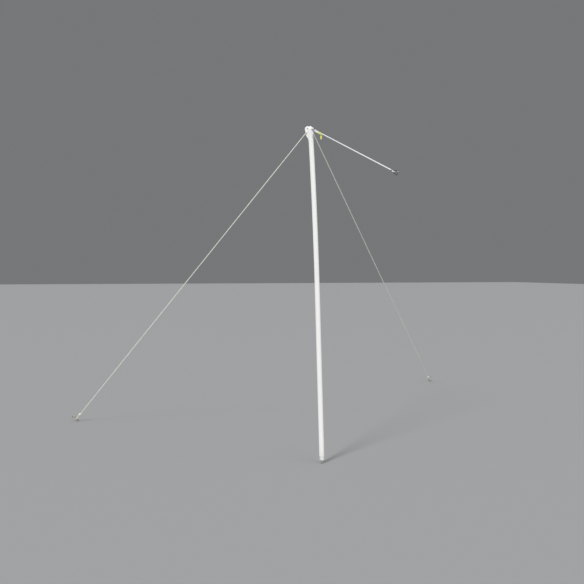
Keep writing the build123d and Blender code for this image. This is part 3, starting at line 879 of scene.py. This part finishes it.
def makeWeld(name, normal):
    # bead path in the tube's unrolled surface: down one face of the plate, half an ellipse round the toe and
    # up the other face, then rolled back on the tube; its radius rises and falls with each ripple
    low = fittings["domeHeight"] - fittings["toeDown"]
    turn = np.linspace(math.pi, 2 * math.pi, weld["toePoints"])
    fall = np.linspace(-weld["topGap"], low, weld["sidePoints"])
    side = fittings["lugThickness"] / 2 + weld["aside"]
    straight = np.full(weld["sidePoints"], side)
    around = np.concatenate([-straight, side * np.cos(turn), straight])
    height = np.concatenate([fall, low + weld["toeReach"] * np.sin(turn), fall[::-1]])
    roll = (around / fittings["tubeRadius"])[:, None]
    outwards = lugOut(normal) * np.cos(roll) + normal * np.sin(roll)
    line = tubeTop + headUp * height[:, None] + outwards * fittings["tubeRadius"]
    path = evenly(line, weld["ringStep"])
    lean = readOff(arcLength(path), arcLength(line), outwards)
    along = arcLength(path)[:, None]
    angle = 2 * math.pi * oneRound(weld["around"])
    drift, driftLength = weld["drift"]
    phase = (along + weld["rippleBow"] * np.cos(angle) + drift * np.sin(along / driftLength)) / weld["ripple"]
    rippled = 1 - weld["rippleDepth"] * (0.5 + 0.5 * np.cos(2 * math.pi * phase))
    swollen = 1 + sum(share * np.sin(along / length) for share, length in weld["swells"])
    radius = weld["beadRadius"] * rippled * swollen * roundedEnds(along, weld["endRound"])
    dress(roundBar(name, path, leaningFrames(path, lean), angle, radius), "white_paint")


for name, normal in (("sailLugWeld", sailNormal), ("leftLugWeld", leftNormal), ("rightLugWeld", rightNormal)):
    makeWeld(name, normal)
print("welds made")


# Camera, light and floor

camera = {
    "place": (4.2668, -2.0510, 1.6264),
    "bearing": 157.477,          # of the view direction, from +X
    "pitch": -2.236,
    "roll": 0.288,
    "focalPixels": 568.0,        # in a frame 584 pixels wide
    "frameWidth": 584.0,
    "sensor": 36.0,
    "farthest": 200.0,
}


def makeCamera():
    bearing, pitch, roll = (math.radians(camera[key]) for key in ("bearing", "pitch", "roll"))
    forward = np.array([math.cos(bearing), math.sin(bearing), 0.0])
    ahead = forward * math.cos(pitch) + upwards * math.sin(pitch)
    level = np.cross(forward, upwards)
    above = np.cross(level, ahead)
    right = level * math.cos(roll) + above * math.sin(roll)
    up = above * math.cos(roll) - level * math.sin(roll)
    lens = bpy.data.cameras.new("viewLens")
    lens.sensor_width = camera["sensor"]
    lens.lens = camera["focalPixels"] / camera["frameWidth"] * camera["sensor"]
    lens.clip_end = camera["farthest"]
    eye = bpy.data.objects.new("viewCamera", lens)
    matrix = np.eye(4)
    matrix[:3] = np.stack([right, up, -ahead, camera["place"]], axis=1)
    eye.matrix_world = Matrix(matrix.tolist())
    bpy.context.scene.collection.objects.link(eye)
    bpy.context.scene.camera = eye


# degrees: a lamp's bearing is the way its light travels, from +X, and its spread the width of its disc
studio = {
    "keyLamp": {"bearing": 117.0, "height": 42.0, "strength": 2.05, "spread": 14.0},
    "fillLamp": {"bearing": 218.0, "height": 25.0, "strength": 1.0, "spread": 60.0},
    "worldLight": 0.59,
    "backdrop": (0.18, 0.186, 0.192),
    "floor": (0.30, 0.305, 0.31),
    "floorRough": 0.9,
    "floorHalf": 60.0,
}


def makeLamp(name, bearing, height, strength, spread):
    lamp = bpy.data.lights.new(name, "SUN")
    lamp.energy = strength
    lamp.angle = math.radians(spread)
    holder = bpy.data.objects.new(name, lamp)
    holder.rotation_euler = (math.radians(90 - height), 0, math.radians(bearing - 90))
    bpy.context.scene.collection.objects.link(holder)


def makeFloor():
    half = studio["floorHalf"]
    corners = np.array([[-half, -half, 0], [half, -half, 0], [half, half, 0], [-half, half, 0]], float)
    floor = makeMesh("paleFloor", corners, [np.array([[0, 1, 2, 3]])])
    material, shader = newFinish("floorFinish")[::2]
    shader.inputs["Base Color"].default_value = (*studio["floor"], 1)
    shader.inputs["Roughness"].default_value = studio["floorRough"]
    floor.data.materials.append(material)


def makeWorld():
    # even white light on the object; the camera sees the plain backdrop, also mirrored or through a piece
    world = bpy.data.worlds.new("studioWorld")
    bpy.context.scene.world = world
    world.use_nodes = True
    tree = world.node_tree
    tree.nodes.clear()
    output = put(tree, "ShaderNodeOutputWorld")
    light = put(tree, "ShaderNodeBackground", {"Color": (1, 1, 1, 1), "Strength": studio["worldLight"]})
    backdrop = put(tree, "ShaderNodeBackground", {"Color": (*studio["backdrop"], 1), "Strength": 1.0})
    seen = put(tree, "ShaderNodeLightPath")
    choose = put(tree, "ShaderNodeMixShader")
    mirrored = combine(tree, seen.outputs["Is Glossy Ray"], seen.outputs["Is Transmission Ray"], "MAXIMUM")
    join(tree, combine(tree, seen.outputs["Is Camera Ray"], mirrored, "MAXIMUM"), choose.inputs[0])
    join(tree, light.outputs[0], choose.inputs[1])
    join(tree, backdrop.outputs[0], choose.inputs[2])
    join(tree, choose.outputs[0], output.inputs["Surface"])


makeCamera()
for name in ("keyLamp", "fillLamp"):
    makeLamp(name, **studio[name])
makeFloor()
makeWorld()
bpy.context.scene.view_settings.view_transform = "Standard"
print("camera, lamps and floor made")
